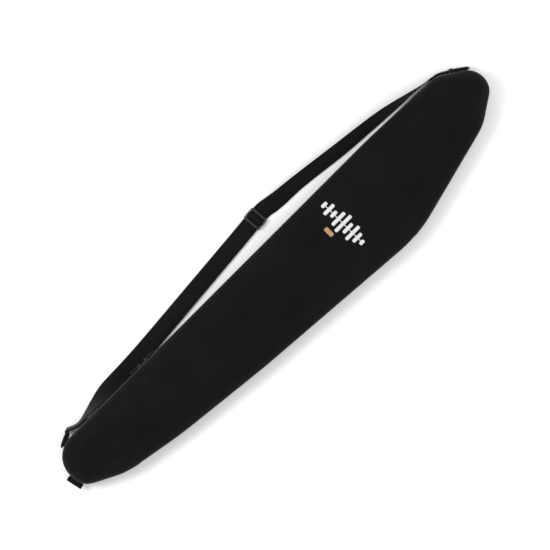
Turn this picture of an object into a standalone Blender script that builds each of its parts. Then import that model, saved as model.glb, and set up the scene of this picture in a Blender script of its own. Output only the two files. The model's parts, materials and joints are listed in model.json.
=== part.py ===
"""Padded zip bag for a telescopic boom pole, with a webbing shoulder strap.

The bag lies on its back. +X runs along it, +Y points to its straight zip edge, and +Z points
up out of the front panel. The origin is under the middle of the bag, on the surface it lies on.
"""

import math

import bmesh
import bpy
from mathutils import Matrix, Vector

# Bag body, metres.
NOSE_LEFT = -0.483
NOSE_RIGHT = 0.4905
ZIP_EDGE_Y = 0.080
BAG_DEPTH = 0.050
MID_Z = BAG_DEPTH / 2
GAP = 0.0003

# Corners of the outline, counter-clockwise seen from the front: x, y, radius, arc steps.
CORNERS = [
    (-0.411, -0.030, 0.150, 3),
    (-0.300, -0.0495, 0.800, 1),
    (-0.120, -0.0690, 1.500, 1),
    (0.2224, -0.0952, 0.250, 4),
    (0.432, -0.0410, 0.100, 2),
    (NOSE_RIGHT, -0.0018, 0.032, 4),
    (NOSE_RIGHT, 0.0372, 0.036, 4),
    (0.4335, 0.0742, 0.050, 3),
    (0.280, ZIP_EDGE_Y, 0.800, 1),
    (NOSE_LEFT, ZIP_EDGE_Y, 0.046, 6),
    (NOSE_LEFT, 0.007, 0.035, 4),
]
WIDEST_CORNER = 3
RUN_STEP = 0.105
HINGE_FROM_X = -0.382
ZIP_FROM_X = 0.209

# Layers of each half, from the outside in.
SHELL_WALL = 0.0010
PADDING_WALL = 0.0050
LINING_WALL = 0.0008
LAYER_GAP = 0.0008
SECTION_POWER = 2.6
RING_STEPS = (0.0, 0.07, 0.20, 0.42, 0.70)
SPINE_END = 0.050
SPINE_LOW_LEFT = -0.019
SPINE_LOW_RIGHT = -0.0347

# Zip between the two halves.
RIM_HALF = 0.0040
TAPE_INSET = (0.0006, 0.0014)
TEETH_INSET = (-0.0009, 0.0004)
TEETH_HALF = 0.0024
CHAIN_GAP = 0.0006
STOP_LENGTH = 0.0030

# Zip sliders and their pulls.
SLIDERS_MEET_X = -0.262
SLIDER_LENGTH = 0.0120
SLIDER_HALF_HEIGHT = 0.0030
SLIDER_PLATE = 0.0012
PIN_RADIUS = 0.0006
PIN_OUT = 0.0034
EYE_RADIUS = 0.0016
EYE_HALF = 0.0012
PULL_LENGTH = 0.0220
PULL_HALF_WIDTH = 0.0030

# Webbing, rings and their tabs.
STRAP_WIDTH = 0.030
STRAP_THICKNESS = 0.0016
TAB_WIDTH = 0.025
TAB_WALL = 0.0013
TAB_ROOT = 0.0014
TAB_WRAP = 115
TAB_Z = 0.0173
RING_WIRE = 0.0017
RING_HALF_WIDTH = 0.0150
RING_DEPTH = 0.0154
RING_POINTS = 14
LEFT_RING = {"centre": (-0.4274, 0.0379), "radius": 0.046, "angle": 114, "reach": 0.0045, "droop": 78}
RIGHT_RING = {"centre": (0.4461, 0.0129), "radius": 0.045, "angle": 55, "reach": 0.0040, "droop": 80}
END_LOOP = {"centre": (-0.448, 0.0285), "radius": 0.035, "angle": 195, "reach": 0.0078}

# Strap route between the rings: x, y, tilt in degrees, share of the full width. The tilt lifts the
# inner edge, or the outer edge where it is negative.
# The straight run that the adjuster slides on lies between the two marked points.
ROUTE_LEFT = [
    (-0.414, 0.0868, 80, 0.80),
    (-0.390, 0.0893, 72, 1.0),
    (-0.364, 0.0917, 50, 1.0),
    (-0.342, 0.0932, 28, 1.0),
    (-0.319, 0.0933, 9, 1.0),
    (-0.286, 0.0940, 0, 1.0),
    (-0.247, 0.0962, 0, 1.0),
]
RUN_FROM = (-0.211, 0.099)
RUN_TO = (0.060, 0.1217)
ROUTE_RIGHT = [
    (0.083, 0.1192, -8, 1.0),
    (0.102, 0.1168, -18, 1.0),
    (0.136, 0.1143, -31, 1.0),
    (0.170, 0.1105, -35, 1.0),
    (0.204, 0.1061, -36, 1.0),
    (0.238, 0.1019, -38, 1.0),
    (0.272, 0.0985, -43, 1.0),
    (0.306, 0.0950, -50, 1.0),
    (0.333, 0.0918, -58, 1.0),
    (0.360, 0.0878, -69, 1.0),
    (0.387, 0.0838, -83, 1.0),
    (0.408, 0.0804, -90, 0.85),
    (0.428, 0.0778, -94, 0.72),
    (0.4442, 0.0740, -98, 0.65),
]
STRAP_END_SHARE = 0.58
STRAP_END_CLEAR = 0.0008
STRAP_LIFT = 0.0006
RETURN_FROM_X = -0.297

# Adjuster buckle on the strap.
ADJUSTER_X = 0.047
ADJUSTER_LENGTH = 0.024
ADJUSTER_WIDTH = 0.034
ADJUSTER_THICKNESS = 0.0026
ADJUSTER_CORNER = 0.003
BAR_HALF = 0.0025
SLOT_LENGTH = 0.0055
SLOT_WIDTH = 0.031
LOOP_WALL = 0.0014

# Generic printed mark: level bars across the front panel, and a small block beside them.
MARK_X = 0.1455
MARK_Y = 0.009
MARK_HEIGHTS = (0.010, 0.020, 0.032, 0.022, 0.038, 0.030, 0.014, 0.024, 0.012)
MARK_PITCH = 0.0112
MARK_BAR = 0.0062
MARK_LINE = 0.0007
MARK_THICKNESS = 0.0003
ACCENT_X = 0.1185
ACCENT_Y = 0.016
ACCENT_SIZE = (0.008, 0.018)

FABRIC_BLACK = (0.012, 0.012, 0.013)
WEBBING_BLACK = (0.018, 0.018, 0.019)
FOAM_GREY = (0.060, 0.060, 0.062)
LINING_GREY = (0.030, 0.030, 0.033)
PLASTIC_BLACK = (0.014, 0.014, 0.015)
METAL_BLACK = (0.030, 0.030, 0.032)
PRINT_WHITE = (0.800, 0.800, 0.790)
ACCENT_TAN = (0.560, 0.360, 0.200)


def clear_scene():
    for obj in list(bpy.data.objects):
        bpy.data.objects.remove(obj, do_unlink=True)


def collection(name):
    group = bpy.data.collections.new(name)
    bpy.context.scene.collection.children.link(group)
    return group


def material(name, colour, roughness, metallic=0.0):
    mat = bpy.data.materials.new(name)
    mat.use_nodes = True
    shader = mat.node_tree.nodes["Principled BSDF"]
    shader.inputs["Base Color"].default_value = (*colour, 1.0)
    shader.inputs["Roughness"].default_value = roughness
    shader.inputs["Metallic"].default_value = metallic
    return mat


def add(name, data, finish, matrix=None):
    """Link an object to the bag's collection with a material of its own."""
    obj = bpy.data.objects.new(name, data)
    if matrix is not None:
        obj.matrix_world = matrix
    obj.data.materials.append(material(name, *finish))
    BAG.objects.link(obj)
    return obj


# Outline ----------------------------------------------------------------------------------


def rounded_outline():
    """Points and outward normals of the rounded outline, counter-clockwise."""
    count = len(CORNERS)
    stations = []
    for i, (x, y, radius, steps) in enumerate(CORNERS):
        corner = Vector((x, y))
        back = (Vector(CORNERS[i - 1][:2]) - corner).normalized()
        ahead = (Vector(CORNERS[(i + 1) % count][:2]) - corner).normalized()
        half = back.angle(ahead) / 2
        centre = corner + (back + ahead).normalized() * (radius / math.sin(half))
        start = corner + back * (radius / math.tan(half))
        turn = math.pi - 2 * half
        arm = start - centre
        for k in range(steps + 1):
            spoke = Matrix.Rotation(turn * k / steps, 2) @ arm
            stations.append((centre + spoke, spoke.normalized()))
    filled = []
    for i, (point, normal) in enumerate(stations):
        filled.append((point, normal))
        following, next_normal = stations[(i + 1) % len(stations)]
        pieces = int((following - point).length / RUN_STEP) + 1
        for k in range(1, pieces):
            share = k / pieces
            filled.append((point.lerp(following, share), normal.lerp(next_normal, share).normalized()))
    return filled


def spine(point):
    """Nearest point of the bag's middle line."""
    x = min(max(point.x, NOSE_LEFT + SPINE_END), NOSE_RIGHT - SPINE_END)
    widest_x, widest_y = CORNERS[WIDEST_CORNER][:2]
    if x < widest_x:
        share = (x - NOSE_LEFT) / (widest_x - NOSE_LEFT)
        low = SPINE_LOW_LEFT + (widest_y - SPINE_LOW_LEFT) * share
    else:
        share = (x - widest_x) / (NOSE_RIGHT - widest_x)
        low = widest_y + (SPINE_LOW_RIGHT - widest_y) * share
    return Vector((x, (ZIP_EDGE_Y + low) / 2))


def section(share):
    """Height of the half's section, 0 at the rim and 1 on the flat middle."""

    def curve(value):
        return (1 - (1 - value) ** SECTION_POWER) ** (1 / SECTION_POWER)

    return curve(share) / curve(RING_STEPS[-1])


def loft(bm, loops, closed):
    """Join rows of points with quads. Closed rows join end to end."""
    rows = [[bm.verts.new(co) for co in loop] for loop in loops]
    for row, following in zip(rows, rows[1:]):
        for i in range(len(row) if closed else len(row) - 1):
            j = (i + 1) % len(row)
            bm.faces.new((row[i], row[j], following[j], following[i]))
    return rows


def finish_mesh(bm, name):
    bmesh.ops.recalc_face_normals(bm, faces=bm.faces)
    mesh = bpy.data.meshes.new(name)
    bm.to_mesh(mesh)
    bm.free()
    return mesh


def half_layer(name, side, inset, wall, finish):
    """One dished layer of a half: side is -1 for the back and +1 for the front."""
    surfaces = []
    for depth in (inset, inset + wall):
        rings = []
        for share in RING_STEPS:
            height = RIM_HALF + (MID_Z - RIM_HALF - depth) * section(share)
            ring = []
            for point, normal in OUTLINE:
                rim = point - normal * depth
                flat = rim.lerp(spine(point), share)
                ring.append((flat.x, flat.y, MID_Z + side * height))
            rings.append(ring)
        surfaces.append(rings)
    outer, inner = surfaces
    bm = bmesh.new()
    rows = loft(bm, outer[::-1] + inner, True)
    bm.faces.new(rows[0])
    bm.faces.new(rows[-1])
    return add(name, finish_mesh(bm, name), finish)


def band(name, path, insets, heights, finish, closed=False):
    """A rectangular strip that follows the outline. Heights are from the parting plane."""
    near, far = insets
    low, high = heights
    sections = []
    for point, normal in path:
        inner, outer = point - normal * far, point - normal * near
        corners = [(outer, low), (outer, high), (inner, high), (inner, low)]
        sections.append([(p.x, p.y, MID_Z + z) for p, z in corners])
    bm = bmesh.new()
    rows = loft(bm, sections + sections[:1] if closed else sections, True)
    if closed:
        bmesh.ops.remove_doubles(bm, verts=bm.verts, dist=1e-6)
    else:
        bm.faces.new(rows[0])
        bm.faces.new(rows[-1])
    return add(name, finish_mesh(bm, name), finish)


# Small solids -----------------------------------------------------------------------------


def box_into(bm, low, high):
    size = [b - a for a, b in zip(low, high)]
    middle = [(a + b) / 2 for a, b in zip(low, high)]
    bmesh.ops.create_cube(bm, size=1.0, matrix=Matrix.Translation(middle) @ Matrix.Diagonal((*size, 1)))


def cutter_box(name, low, high):
    """A box kept out of the model, for a union with a piece."""
    bm = bmesh.new()
    box_into(bm, low, high)
    obj = bpy.data.objects.new(name, finish_mesh(bm, name))
    obj.hide_render = True
    obj.display_type = "WIRE"
    CUTTERS.objects.link(obj)
    return obj


def join(obj, others):
    for other in others:
        union = obj.modifiers.new(other.name, "BOOLEAN")
        union.operation = "UNION"
        union.solver = "EXACT"
        union.object = other


def outline_curve(name, splines, half_depth):
    """A flat outline with holes, as a curve thickened both ways."""
    curve = bpy.data.curves.new(name, "CURVE")
    curve.dimensions = "2D"
    curve.fill_mode = "BOTH"
    curve.extrude = half_depth
    for points in splines:
        spline = curve.splines.new("POLY")
        spline.points.add(len(points) - 1)
        spline.use_cyclic_u = True
        for target, (x, y) in zip(spline.points, points):
            target.co = (x, y, 0, 1)
    return curve


def arc(centre, radius, start, end, steps):
    """Points on an arc, angles in degrees."""
    points = []
    for k in range(steps + 1):
        angle = math.radians(start + (end - start) * k / steps)
        points.append((centre[0] + radius * math.cos(angle), centre[1] + radius * math.sin(angle)))
    return points


def rounded_rectangle(half_x, half_y, radius, steps=3):
    points = []
    for sx, sy, start in ((1, 1, 0), (-1, 1, 90), (-1, -1, 180), (1, -1, 270)):
        centre = (sx * (half_x - radius), sy * (half_y - radius))
        points += arc(centre, radius, start, start + 90, steps)
    return points


def edge_frame(place):
    """Edge point, outward and sideways directions of a fitting on a rounded corner."""
    angle = math.radians(place["angle"])
    outward = Vector((math.cos(angle), math.sin(angle), 0))
    centre = Vector((*place["centre"], TAB_Z))
    sideways = outward.cross(Vector((0, 0, 1)))
    return centre + outward * place["radius"], outward, sideways


def tab(name, place, hole, width):
    """A webbing tab folded round a bar: a teardrop outline with a hole, across the edge."""
    edge, outward, sideways = edge_frame(place)
    reach = place["reach"]
    around = arc((reach, 0), hole + TAB_WALL, -TAB_WRAP, TAB_WRAP, 10)
    outer = [(GAP, -TAB_ROOT)] + around + [(GAP, TAB_ROOT)]
    inner = arc((reach, 0), hole, 0, 330, 11)
    curve = outline_curve(name, (outer, inner), width / 2)
    turn = Matrix((outward, Vector((0, 0, 1)), sideways)).transposed().to_4x4()
    add(name, curve, (WEBBING_BLACK, 0.8), Matrix.Translation(edge) @ turn)


def bar_centre(place):
    edge, outward, _ = edge_frame(place)
    return edge + outward * place["reach"]


def hang_direction(place):
    """Direction in which the ring hangs from its bar."""
    _, outward, _ = edge_frame(place)
    droop = math.radians(place["droop"])
    return outward * math.cos(droop) - Vector((0, 0, math.sin(droop)))


def d_ring(name, place):
    """A wire D ring: a straight bar in the tab and a rounded bow. Its origin is on the bar."""
    _, _, sideways = edge_frame(place)
    down = hang_direction(place)
    curve = bpy.data.curves.new(name, "CURVE")
    curve.dimensions = "3D"
    curve.bevel_depth = RING_WIRE
    curve.bevel_resolution = 2
    spline = curve.splines.new("POLY")
    spline.points.add(RING_POINTS)
    spline.use_cyclic_u = True
    for k, target in enumerate(spline.points):
        angle = math.pi * k / RING_POINTS
        across = RING_HALF_WIDTH * math.copysign(abs(math.cos(angle)) ** 0.8, math.cos(angle))
        depth = RING_DEPTH * abs(math.sin(angle)) ** 0.8
        target.co = (*(sideways * across + down * depth), 1)
    add(name, curve, (METAL_BLACK, 0.35, 0.8), Matrix.Translation(bar_centre(place)))


# Zip --------------------------------------------------------------------------------------


def zip_slider(name, x, lean):
    """Two plates either side of the teeth, a thin post between the chains, and the pull's pin."""
    half = SLIDER_LENGTH / 2
    face = ZIP_EDGE_Y - TEETH_INSET[0] + GAP
    pin_y = face + PIN_OUT
    height = SLIDER_HALF_HEIGHT
    bm = bmesh.new()
    box_into(bm, (x - half, face, MID_Z - height), (x + half, face + SLIDER_PLATE, MID_Z + height))
    inner = ZIP_EDGE_Y - TAPE_INSET[1] - GAP
    pieces = [
        ("inner_plate", (-half, inner - SLIDER_PLATE, -height), (half, inner, height)),
        ("post", (-0.002, inner - 0.0004, -GAP), (0.002, face + 0.0004, GAP)),
        ("lug_low", (-0.0012, face + 0.0006, -height), (0.0012, pin_y + 0.001, -EYE_HALF - GAP)),
        ("lug_high", (-0.0012, face + 0.0006, EYE_HALF + GAP), (0.0012, pin_y + 0.001, height)),
        ("pin", (-PIN_RADIUS, pin_y - PIN_RADIUS, -0.002), (PIN_RADIUS, pin_y + PIN_RADIUS, 0.002)),
    ]
    obj = add(name, finish_mesh(bm, name), (METAL_BLACK, 0.4, 0.7))
    base = Vector((x, 0, MID_Z))
    cutters = []
    for label, low, high in pieces:
        low = base + Vector(low)
        high = base + Vector(high)
        cutters.append(cutter_box(f"{name}_{label}", low, high))
    join(obj, cutters)
    pull_name = name.replace("slider", "pull")
    zip_pull(pull_name, Vector((x, pin_y, MID_Z)), lean)


def zip_pull(name, pin, lean):
    """A flat pull with an eye round the slider's pin. It lies along the zip."""
    shank = 0.0006
    sides = arc((0, 0), EYE_RADIUS, 25, 335, 12)
    outline = [(lean * px, py) for px, py in sides]
    outline += [(lean * 0.007, -shank), (lean * 0.007, shank)]
    hole = arc((0, 0), PIN_RADIUS * math.sqrt(2) + GAP, 0, 330, 11)
    curve = outline_curve(name, (outline, hole), EYE_HALF)
    obj = curve_to_mesh(name, curve, (METAL_BLACK, 0.4, 0.7), Matrix.Translation(pin))
    ends = sorted((lean * 0.0065, lean * PULL_LENGTH))
    low = pin + Vector((ends[0], -0.0009, -PULL_HALF_WIDTH))
    high = pin + Vector((ends[1], 0.0009, PULL_HALF_WIDTH))
    join(obj, [cutter_box(f"{name}_grip", low, high)])


def curve_to_mesh(name, curve, finish, matrix):
    """A curve made a mesh object, its caps welded, so that a union can join it."""
    source = bpy.data.objects.new(f"{name}_curve", curve)
    BAG.objects.link(source)
    bpy.context.view_layer.update()
    evaluated = source.evaluated_get(bpy.context.evaluated_depsgraph_get())
    mesh = bpy.data.meshes.new_from_object(evaluated)
    bpy.data.objects.remove(source)
    bm = bmesh.new()
    bm.from_mesh(mesh)
    bmesh.ops.remove_doubles(bm, verts=bm.verts, dist=1e-6)
    return add(name, finish_mesh(bm, name), finish, matrix)


# Strap ------------------------------------------------------------------------------------


def run_direction():
    return (Vector(RUN_TO) - Vector(RUN_FROM)).normalized()


def run_point(x):
    """Point at x on the strap's straight run."""
    share = (x - RUN_FROM[0]) / (RUN_TO[0] - RUN_FROM[0])
    return Vector(RUN_FROM).lerp(Vector(RUN_TO), share)


def strap_stations():
    """Place, tilt and width share along the strap's middle line."""

    def lifted(x, y, tilt, share):
        rise = STRAP_WIDTH / 2 * share * abs(math.sin(math.radians(tilt)))
        return Vector((x, y, STRAP_LIFT + STRAP_THICKNESS / 2 + rise)), tilt, share

    def at_ring(place, side):
        _, _, sideways = edge_frame(place)
        start = RING_HALF_WIDTH + RING_WIRE + STRAP_END_CLEAR
        spot = bar_centre(place) + sideways * side * start + hang_direction(place) * RING_DEPTH / 2
        return spot, place["droop"] if side > 0 else place["droop"] - 180, STRAP_END_SHARE

    stations = [at_ring(LEFT_RING, 1)] + [lifted(*row) for row in ROUTE_LEFT]
    steps = 4
    run = [Vector(RUN_FROM).lerp(Vector(RUN_TO), k / steps) for k in range(steps + 1)]
    stations += [lifted(spot.x, spot.y, 0, 1.0) for spot in run]
    stations += [lifted(*row) for row in ROUTE_RIGHT] + [at_ring(RIGHT_RING, -1)]
    return stations


def webbing(name, stations, width, thickness, offset=0.0):
    """A flat ribbon through the stations, with its tilt, as a curve with a rectangular profile."""
    outline = rounded_rectangle(width / 2, thickness / 2, 0.0002, 1)[::-1]
    profile = outline_curve(f"{name}_profile", [outline], 0)
    profile.fill_mode = "NONE"
    guide = bpy.data.objects.new(f"{name}_profile", profile)
    guide.hide_render = True
    guide.display_type = "WIRE"
    CUTTERS.objects.link(guide)
    curve = bpy.data.curves.new(name, "CURVE")
    curve.dimensions = "3D"
    curve.twist_mode = "Z_UP"
    curve.bevel_mode = "OBJECT"
    curve.bevel_object = guide
    curve.use_fill_caps = True
    spline = curve.splines.new("POLY")
    spline.points.add(len(stations) - 1)
    for target, (spot, tilt, share) in zip(spline.points, stations):
        target.co = (spot.x, spot.y, spot.z + offset, 1)
        target.tilt = math.radians(tilt)
        target.radius = share
    add(name, curve, (WEBBING_BLACK, 0.8))


def smooth_stations(stations, steps):
    """More stations on a smooth curve through the given ones."""

    def blend(a, b, c, d, t):
        bend = (2 * a - 5 * b + 4 * c - d) * t**2 + (3 * b - a - 3 * c + d) * t**3
        return 0.5 * (2 * b + (c - a) * t + bend)

    result = []
    last = len(stations) - 1
    for i in range(last):
        around = [stations[max(0, min(last, i + k))] for k in (-1, 0, 1, 2)]
        for k in range(steps):
            result.append(tuple(blend(*(s[field] for s in around), k / steps) for field in range(3)))
    return result + [stations[-1]]


def adjuster():
    """The plastic adjuster and the webbing loop over its middle bar."""
    along = run_direction()
    across = Vector((-along.y, along.x))
    top = STRAP_LIFT + 2 * (STRAP_THICKNESS + GAP)
    spot = run_point(ADJUSTER_X)
    turn = Matrix(((along.x, across.x, 0), (along.y, across.y, 0), (0, 0, 1))).to_4x4()
    half = ADJUSTER_THICKNESS / 2
    frame = [rounded_rectangle(ADJUSTER_LENGTH / 2, ADJUSTER_WIDTH / 2, ADJUSTER_CORNER)]
    for side in (-1, 1):
        middle = side * (BAR_HALF + SLOT_LENGTH / 2)
        slot = rounded_rectangle(SLOT_LENGTH / 2, SLOT_WIDTH / 2, 0.001, 2)
        frame.append([(x + middle, y) for x, y in slot])
    place = Matrix.Translation((spot.x, spot.y, top + GAP + half)) @ turn
    add("strap_adjuster", outline_curve("strap_adjuster", frame, half), (PLASTIC_BLACK, 0.45), place)

    low = -half
    peak = half + GAP + LOOP_WALL
    inner, outer = BAR_HALF + GAP, BAR_HALF + GAP + LOOP_WALL
    hump = [(-outer, low), (-inner, low), (-inner, half + GAP)]
    hump += [(inner, half + GAP), (inner, low), (outer, low)]
    hump += [(outer, peak - LOOP_WALL / 2), (inner, peak), (-inner, peak), (-outer, peak - LOOP_WALL / 2)]
    upright = Matrix(((1, 0, 0), (0, 0, -1), (0, 1, 0))).to_4x4()
    curve = outline_curve("adjuster_webbing_loop", [hump], STRAP_WIDTH / 2 - GAP)
    add("adjuster_webbing_loop", curve, (WEBBING_BLACK, 0.8), place @ upright)


# Printed mark -----------------------------------------------------------------------------


def printed_mark():
    """Level bars on a thin base line, printed in white on the front panel, with a small tan block."""
    half = MARK_THICKNESS / 2
    upper = []
    for i, height in enumerate(MARK_HEIGHTS):
        y = MARK_Y + (i - (len(MARK_HEIGHTS) - 1) / 2) * MARK_PITCH
        left, right = y - MARK_BAR / 2, y + MARK_BAR / 2
        upper += [(MARK_LINE, left), (height / 2, left), (height / 2, right), (MARK_LINE, right)]
    outline = [(MARK_X + px, py) for px, py in upper] + [(MARK_X - px, py) for px, py in upper[::-1]]
    place = Matrix.Translation((0, 0, BAG_DEPTH + GAP + half))
    add("printed_mark", outline_curve("printed_mark", [outline], half), (PRINT_WHITE, 0.6), place)
    block = rounded_rectangle(ACCENT_SIZE[0] / 2, ACCENT_SIZE[1] / 2, 0.002, 2)
    block = [(ACCENT_X + px, ACCENT_Y + py) for px, py in block]
    add("printed_accent", outline_curve("printed_accent", [block], half), (ACCENT_TAN, 0.6), place)


# Model ------------------------------------------------------------------------------------


def split_outline():
    """The outline's points beside the fabric hinge, and those beside the zip."""
    beside = [
        i
        for i, (point, normal) in enumerate(OUTLINE)
        if normal.y < 0 and HINGE_FROM_X < point.x < ZIP_FROM_X
    ]
    first, last = beside[0], beside[-1]
    count = len(OUTLINE)
    hinge_side = OUTLINE[first - 1 : last + 2]
    room = STOP_LENGTH + 2 * GAP
    for end, neighbour in ((0, 1), (-1, -2)):
        point, normal = hinge_side[end]
        inward = (hinge_side[neighbour][0] - point).normalized()
        hinge_side[end] = (point + inward * room, normal)
    zip_side = [OUTLINE[k % count] for k in range(last + 1, first + count)]
    return hinge_side, zip_side


def halves(hinge_side, zip_side):
    padding = SHELL_WALL + LAYER_GAP
    lining = padding + PADDING_WALL + LAYER_GAP
    for side, half in ((-1, "back"), (1, "front")):
        half_layer(f"{half}_shell", side, 0.0, SHELL_WALL, (FABRIC_BLACK, 0.8))
        half_layer(f"{half}_padding", side, padding, PADDING_WALL, (FOAM_GREY, 0.9))
        half_layer(f"{half}_lining", side, lining, LINING_WALL, (LINING_GREY, 0.85))
        rim = RIM_HALF - GAP
        tape = sorted((side * rim, side * CHAIN_GAP))
        teeth = sorted((side * TEETH_HALF, side * CHAIN_GAP))
        chain_inset = (TEETH_INSET[0], TAPE_INSET[0] - GAP)
        band(f"{half}_zip_tape", zip_side, TAPE_INSET, tape, (FABRIC_BLACK, 0.85))
        band(f"{half}_zip_teeth", zip_side, chain_inset, teeth, (PLASTIC_BLACK, 0.45))
        bind = sorted((side * rim, side * (rim - 0.0007)))
        inner_edge = lining + LINING_WALL
        band(f"{half}_binding", OUTLINE, (0.0034, inner_edge), bind, (FABRIC_BLACK, 0.8), closed=True)
    band("hinge_strip", hinge_side, TAPE_INSET, (GAP - RIM_HALF, RIM_HALF - GAP), (FABRIC_BLACK, 0.85))


def zip_stops(zip_side):
    """A sewn stop at each end of the teeth, on the back half's tape."""
    for name, end, neighbour in (("right_zip_stop", 0, 1), ("left_zip_stop", -1, -2)):
        point, normal = zip_side[end]
        away = (point - zip_side[neighbour][0]).normalized()
        start = point + away * GAP
        path = [(start, normal), (start + away * STOP_LENGTH, normal)]
        band(name, path, TAPE_INSET, (-TEETH_HALF, TEETH_HALF), (FABRIC_BLACK, 0.8))


def build():
    hinge_side, zip_side = split_outline()
    halves(hinge_side, zip_side)
    zip_stops(zip_side)
    spread = SLIDER_LENGTH / 2 + 0.0006
    zip_slider("left_zip_slider", SLIDERS_MEET_X - spread, -1)
    zip_slider("right_zip_slider", SLIDERS_MEET_X + spread, 1)
    for side, place in (("left", LEFT_RING), ("right", RIGHT_RING)):
        tab(f"{side}_ring_tab", place, RING_WIRE + 0.00035, TAB_WIDTH)
        d_ring(f"{side}_d_ring", place)
    tab("end_loop", END_LOOP, 0.0012, 0.029)
    stations = strap_stations()
    webbing("strap_webbing", smooth_stations(stations, 2), STRAP_WIDTH, STRAP_THICKNESS)
    reach = run_point(ADJUSTER_X - ADJUSTER_LENGTH / 2 - GAP)
    upper = [s for s in stations if RETURN_FROM_X < s[0].x < ADJUSTER_X]
    upper.append((Vector((reach.x, reach.y, upper[-1][0].z)), 0, 1.0))
    webbing("strap_return", smooth_stations(upper, 2), STRAP_WIDTH, STRAP_THICKNESS, STRAP_THICKNESS + GAP)
    adjuster()
    printed_mark()


clear_scene()
BAG = collection("boom_pole_bag")
CUTTERS = collection("cutters")
OUTLINE = rounded_outline()
build()
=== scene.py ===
"""Padded boom pole bag: the finished pieces, materials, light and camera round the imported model."""

import json
import math

import bmesh
import bpy
from bpy.props import FloatProperty, FloatVectorProperty, PointerProperty
from mathutils import Matrix, Vector, noise
from mathutils.bvhtree import BVHTree
from mathutils.kdtree import KDTree


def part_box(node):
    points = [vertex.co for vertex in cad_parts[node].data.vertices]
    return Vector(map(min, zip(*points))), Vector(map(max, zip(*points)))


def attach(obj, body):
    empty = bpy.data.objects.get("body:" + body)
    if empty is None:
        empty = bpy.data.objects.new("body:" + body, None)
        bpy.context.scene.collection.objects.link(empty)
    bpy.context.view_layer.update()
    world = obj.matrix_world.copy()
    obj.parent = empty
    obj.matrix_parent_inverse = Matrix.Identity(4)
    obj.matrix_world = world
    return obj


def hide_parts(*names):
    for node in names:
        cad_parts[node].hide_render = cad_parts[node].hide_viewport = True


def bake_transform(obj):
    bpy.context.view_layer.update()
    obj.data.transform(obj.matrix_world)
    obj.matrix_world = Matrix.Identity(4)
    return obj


bl_info = {
    "name": "Boom Pole Bag",
    "version": (1, 0, 0),
    "blender": (4, 5, 0),
    "location": "View3D > Sidebar > Bag",
    "description": "Builds the finished pieces of a padded boom pole bag",
    "category": "Add Mesh",
}

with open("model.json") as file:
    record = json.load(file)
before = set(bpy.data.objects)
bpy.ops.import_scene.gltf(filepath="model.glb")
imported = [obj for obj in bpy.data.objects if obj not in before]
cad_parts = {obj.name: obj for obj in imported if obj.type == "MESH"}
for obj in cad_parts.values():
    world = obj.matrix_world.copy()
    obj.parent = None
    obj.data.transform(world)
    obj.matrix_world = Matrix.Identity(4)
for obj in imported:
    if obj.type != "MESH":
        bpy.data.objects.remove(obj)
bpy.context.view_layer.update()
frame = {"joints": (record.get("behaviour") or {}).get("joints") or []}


def cad_box(node):
    low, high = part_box(node)
    return Vector(low), Vector(high)


SHELL_LOW, SHELL_HIGH = cad_box("front_shell")
MID_Z = (cad_box("back_shell")[0].z + SHELL_HIGH.z) / 2
RIM = SHELL_LOW.z - MID_Z
HALF_DEPTH = SHELL_HIGH.z - MID_Z
UP = Vector((0, 0, 1))

# Corners of the bag's outline: distance from the left nose, distance below the zip edge, radius.
# None stands for the bag's whole length.
CORNERS = (
    (0.072, 0.110, 0.150),
    (0.183, 0.1295, 0.800),
    (0.363, 0.1490, 1.500),
    (0.7054, 0.1752, 0.250),
    (0.915, 0.1210, 0.100),
    (None, 0.0818, 0.032),
    (None, 0.0428, 0.036),
    (0.9165, 0.0058, 0.050),
    (0.763, 0.0, 0.800),
    (0.0, 0.0, 0.046),
    (0.0, 0.073, 0.035),
)
OUTLINE_PITCH = 0.002
SECTION_POWER = 2.6
SECTION_FLAT = 0.70
NOSE_SPAN = 0.050
BILLOW_STEPS = 20

# Strap route from the left ring to the right: x, y, tilt in degrees, share of the full width. The
# tilt lifts the inner edge, or the outer edge where it is negative.
ROUTE_LEFT = (
    (-0.414, 0.0868, 80, 0.80),
    (-0.390, 0.0893, 72, 1.0),
    (-0.364, 0.0917, 50, 1.0),
    (-0.342, 0.0932, 28, 1.0),
    (-0.319, 0.0933, 9, 1.0),
    (-0.286, 0.0940, 0, 1.0),
    (-0.247, 0.0962, 0, 1.0),
)
RUN = (Vector((-0.211, 0.0990)), Vector((0.060, 0.1217)))
ROUTE_RIGHT = (
    (0.083, 0.1192, -8, 1.0),
    (0.102, 0.1168, -18, 1.0),
    (0.136, 0.1143, -31, 1.0),
    (0.170, 0.1105, -35, 1.0),
    (0.204, 0.1061, -36, 1.0),
    (0.238, 0.1019, -38, 1.0),
    (0.272, 0.0985, -43, 1.0),
    (0.306, 0.0950, -50, 1.0),
    (0.333, 0.0918, -58, 1.0),
    (0.360, 0.0878, -69, 1.0),
    (0.387, 0.0838, -83, 1.0),
    (0.408, 0.0804, -90, 0.85),
    (0.428, 0.0778, -94, 0.72),
    (0.4442, 0.0740, -98, 0.65),
)
STRAP_CUTS = (-0.386, 0.405)

# Rings: droop below the horizontal in degrees, tilt of the strap that hangs on it, how far the bar
# stands off the edge, and which way the strap leaves.
RINGS = {
    "left": {"droop": 78, "tilt": 78, "reach": 0.0045, "leaves": 1},
    "right": {"droop": 80, "tilt": -100, "reach": 0.0040, "leaves": -1},
}
STRAP_END_SHARE = 0.58
STRAP_END_CLEAR = 0.0008
STRAP_LIFT = 0.0006
RETURN_FROM_X = -0.297

# The print stands on the panel by its lift, and its base line a little higher.
PRINT_LIFT = 0.00018
PRINT_THICKNESS = 0.00015


def linear(colour):
    """An sRGB hex colour as linear red, green and blue."""
    parts = [int(colour[i : i + 2], 16) / 255 for i in (1, 3, 5)]
    return tuple(c / 12.92 if c <= 0.04045 else ((c + 0.055) / 1.055) ** 2.4 for c in parts)


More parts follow.
